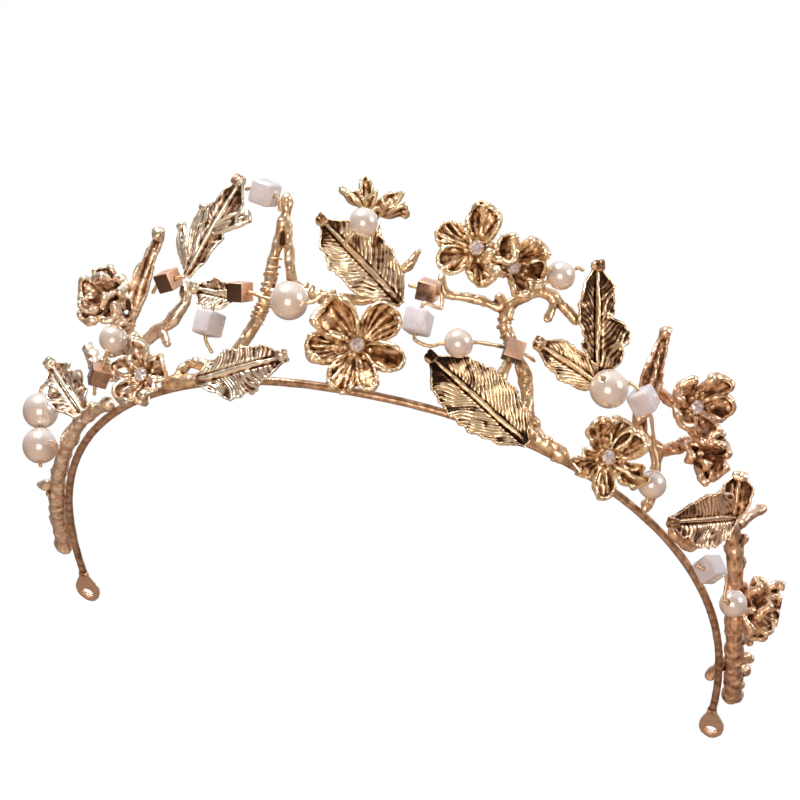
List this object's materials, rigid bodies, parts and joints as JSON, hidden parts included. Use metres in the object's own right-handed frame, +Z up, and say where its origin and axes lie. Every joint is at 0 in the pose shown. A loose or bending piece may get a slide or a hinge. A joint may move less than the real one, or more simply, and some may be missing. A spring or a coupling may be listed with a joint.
{
  "type": "bridal tiara",
  "caption": "Open headband tiara of antique gold branches, leaves and open flowers, with pearls and small cube beads turning on thin wire and clear stones in the flowers.",
  "frame": {"origin": "centre of the object's box, on the floor under its end eyelets and lowest petals", "axes": "+X across the head from the wearer's right to the wearer's left, -Y the decorated front, +Z up"},
  "size_m": [0.1716, 0.135, 0.0523],
  "materials": {
    "band_metal": "antique gold wire, brushed and darkened",
    "branch_metal": "antique gold casting with dark recesses, bark-like",
    "leaf_metal": "antique gold casting, polished ridges and brown recesses",
    "flower_metal": "antique gold casting, bright rolled edges and near-black hollows",
    "bead_wire": "bright yellow gold wire",
    "pearl": "ivory imitation pearl, satin lustre",
    "opal_glass": "milky glass, polished faces",
    "copper_cube": "polished rose and dark plating",
    "clear_stone": "clear faceted brilliant, foil backed"
  },
  "bodies": {
    "tiara": {"headband": "band_metal", "branch_left_end": "branch_metal", "branch_left": "branch_metal", "branch_centre_left": "branch_metal", "branch_centre_right": "branch_metal", "branch_right": "branch_metal", "branch_right_end": "branch_metal", "leaf_left_end": "leaf_metal", "leaf_left_tall": "leaf_metal", "leaf_left_small": "leaf_metal", "leaf_centre_left": "leaf_metal", "leaf_centre": "leaf_metal", "leaf_centre_right": "leaf_metal", "leaf_pair_right": "leaf_metal", "leaf_pair_right_end": "leaf_metal", "flower_left": "flower_metal", "flower_low_left": "flower_metal", "flower_top": "flower_metal", "flower_front": "flower_metal", "flower_low_right": "flower_metal", "flower_right_end": "flower_metal", "flower_pair_top": "flower_metal", "flower_pair_right": "flower_metal", "stone_low_left": "clear_stone", "stone_front": "clear_stone", "stone_low_right": "clear_stone", "stone_top": "clear_stone", "stone_top_under": "clear_stone", "stone_right": "clear_stone", "wire_left_end": "bead_wire", "wire_left": "bead_wire", "wire_branch": "bead_wire", "wire_opal_left": "bead_wire", "wire_stem": "bead_wire", "wire_opal_top": "bead_wire", "wire_top": "bead_wire", "wire_front": "bead_wire", "wire_upright": "bead_wire", "wire_right": "bead_wire", "wire_right_end": "bead_wire"},
    "pearl_left_end_low": {"pearl_left_end_low": "pearl"},
    "pearl_left_end_high": {"pearl_left_end_high": "pearl"},
    "metal_cube_left": {"metal_cube_left": "copper_cube"},
    "pearl_left": {"pearl_left": "pearl"},
    "metal_cube_branch": {"metal_cube_branch": "copper_cube"},
    "opal_cube_left": {"opal_cube_left": "opal_glass"},
    "metal_cube_stem": {"metal_cube_stem": "copper_cube"},
    "pearl_stem": {"pearl_stem": "pearl"},
    "opal_cube_top": {"opal_cube_top": "opal_glass"},
    "pearl_top": {"pearl_top": "pearl"},
    "metal_cube_front": {"metal_cube_front": "copper_cube"},
    "opal_cube_front": {"opal_cube_front": "opal_glass"},
    "pearl_front": {"pearl_front": "pearl"},
    "metal_cube_upright": {"metal_cube_upright": "copper_cube"},
    "pearl_upright": {"pearl_upright": "pearl"},
    "pearl_right": {"pearl_right": "pearl"},
    "opal_cube_right": {"opal_cube_right": "opal_glass"},
    "pearl_low_right": {"pearl_low_right": "pearl"},
    "opal_cube_right_end": {"opal_cube_right_end": "opal_glass"},
    "pearl_right_end": {"pearl_right_end": "pearl"}
  },
  "joints": [
    {"name": "pearl_left_end_low_spin", "type": "hinge", "parent": "tiara", "child": "pearl_left_end_low", "pos_m": [-0.07938, 0.00171, 0.00521], "axis": [0.2943, 0.0941, -0.9511], "continuous": true},
    {"name": "pearl_left_end_high_spin", "type": "hinge", "parent": "tiara", "child": "pearl_left_end_high", "pos_m": [-0.08187, 0.00092, 0.01326], "axis": [0.2943, 0.0941, -0.9511], "continuous": true},
    {"name": "metal_cube_left_spin", "type": "hinge", "parent": "tiara", "child": "metal_cube_left", "pos_m": [-0.06316, -0.02698, 0.01023], "axis": [0.2482, -0.7545, 0.6076], "continuous": true},
    {"name": "pearl_left_spin", "type": "hinge", "parent": "tiara", "child": "pearl_left", "pos_m": [-0.06088, -0.03352, 0.01587], "axis": [0.31, -0.7313, 0.6076], "continuous": true},
    {"name": "metal_cube_branch_spin", "type": "hinge", "parent": "tiara", "child": "metal_cube_branch", "pos_m": [-0.05064, -0.04394, 0.02655], "axis": [0.817, -0.5747, 0.0475], "continuous": true},
    {"name": "opal_cube_left_spin", "type": "hinge", "parent": "tiara", "child": "opal_cube_left", "pos_m": [-0.03837, -0.04696, 0.01666], "axis": [-0.0058, 0.3397, -0.9405], "continuous": true},
    {"name": "metal_cube_stem_spin", "type": "hinge", "parent": "tiara", "child": "metal_cube_stem", "pos_m": [-0.03302, -0.05176, 0.02273], "axis": [0.911, -0.4014, -0.0945], "continuous": true},
    {"name": "pearl_stem_spin", "type": "hinge", "parent": "tiara", "child": "pearl_stem", "pos_m": [-0.02155, -0.05549, 0.02084], "axis": [0.9803, -0.1974, 0], "continuous": true},
    {"name": "opal_cube_top_spin", "type": "hinge", "parent": "tiara", "child": "opal_cube_top", "pos_m": [-0.0334, -0.05681, 0.04426], "axis": [0.9292, -0.2147, -0.3008], "continuous": true},
    {"name": "pearl_top_spin", "type": "hinge", "parent": "tiara", "child": "pearl_top", "pos_m": [-0.0096, -0.06456, 0.03713], "axis": [0.4887, -0.2986, 0.8197], "continuous": true},
    {"name": "metal_cube_front_spin", "type": "hinge", "parent": "tiara", "child": "metal_cube_front", "pos_m": [0.00578, -0.05729, 0.02857], "axis": [0.9953, -0.0207, -0.0945], "continuous": true},
    {"name": "opal_cube_front_spin", "type": "hinge", "parent": "tiara", "child": "opal_cube_front", "pos_m": [0.0058, -0.05762, 0.02067], "axis": [-0.0149, 0.3087, -0.9511], "continuous": true},
    {"name": "pearl_front_spin", "type": "hinge", "parent": "tiara", "child": "pearl_front", "pos_m": [0.01474, -0.05604, 0.01861], "axis": [0.9573, 0.0401, 0.2864], "continuous": true},
    {"name": "metal_cube_upright_spin", "type": "hinge", "parent": "tiara", "child": "metal_cube_upright", "pos_m": [0.02525, -0.05189, 0.0217], "axis": [0.9637, 0.2671, 0], "continuous": true},
    {"name": "pearl_upright_spin", "type": "hinge", "parent": "tiara", "child": "pearl_upright", "pos_m": [0.03118, -0.05717, 0.03819], "axis": [0.7399, 0.0157, 0.6725], "continuous": true},
    {"name": "pearl_right_spin", "type": "hinge", "parent": "tiara", "child": "pearl_right", "pos_m": [0.04547, -0.04762, 0.01986], "axis": [0.324, 0.946, 0], "continuous": true},
    {"name": "opal_cube_right_spin", "type": "hinge", "parent": "tiara", "child": "opal_cube_right", "pos_m": [0.05217, -0.04191, 0.02194], "axis": [0.5787, 0.6411, -0.5041], "continuous": true},
    {"name": "pearl_low_right_spin", "type": "hinge", "parent": "tiara", "child": "pearl_low_right", "pos_m": [0.05702, -0.03154, 0.00902], "axis": [-0.0756, 0.3529, -0.9326], "continuous": true},
    {"name": "opal_cube_right_end_spin", "type": "hinge", "parent": "tiara", "child": "opal_cube_right_end", "pos_m": [0.07074, -0.00688, 0.00514], "axis": [0.4983, 0.7205, 0.4822], "continuous": true},
    {"name": "pearl_right_end_spin", "type": "hinge", "parent": "tiara", "child": "pearl_right_end", "pos_m": [0.07639, 0.00442, 0.00393], "axis": [0.3793, 0.8408, 0.3863], "continuous": true}
  ]
}
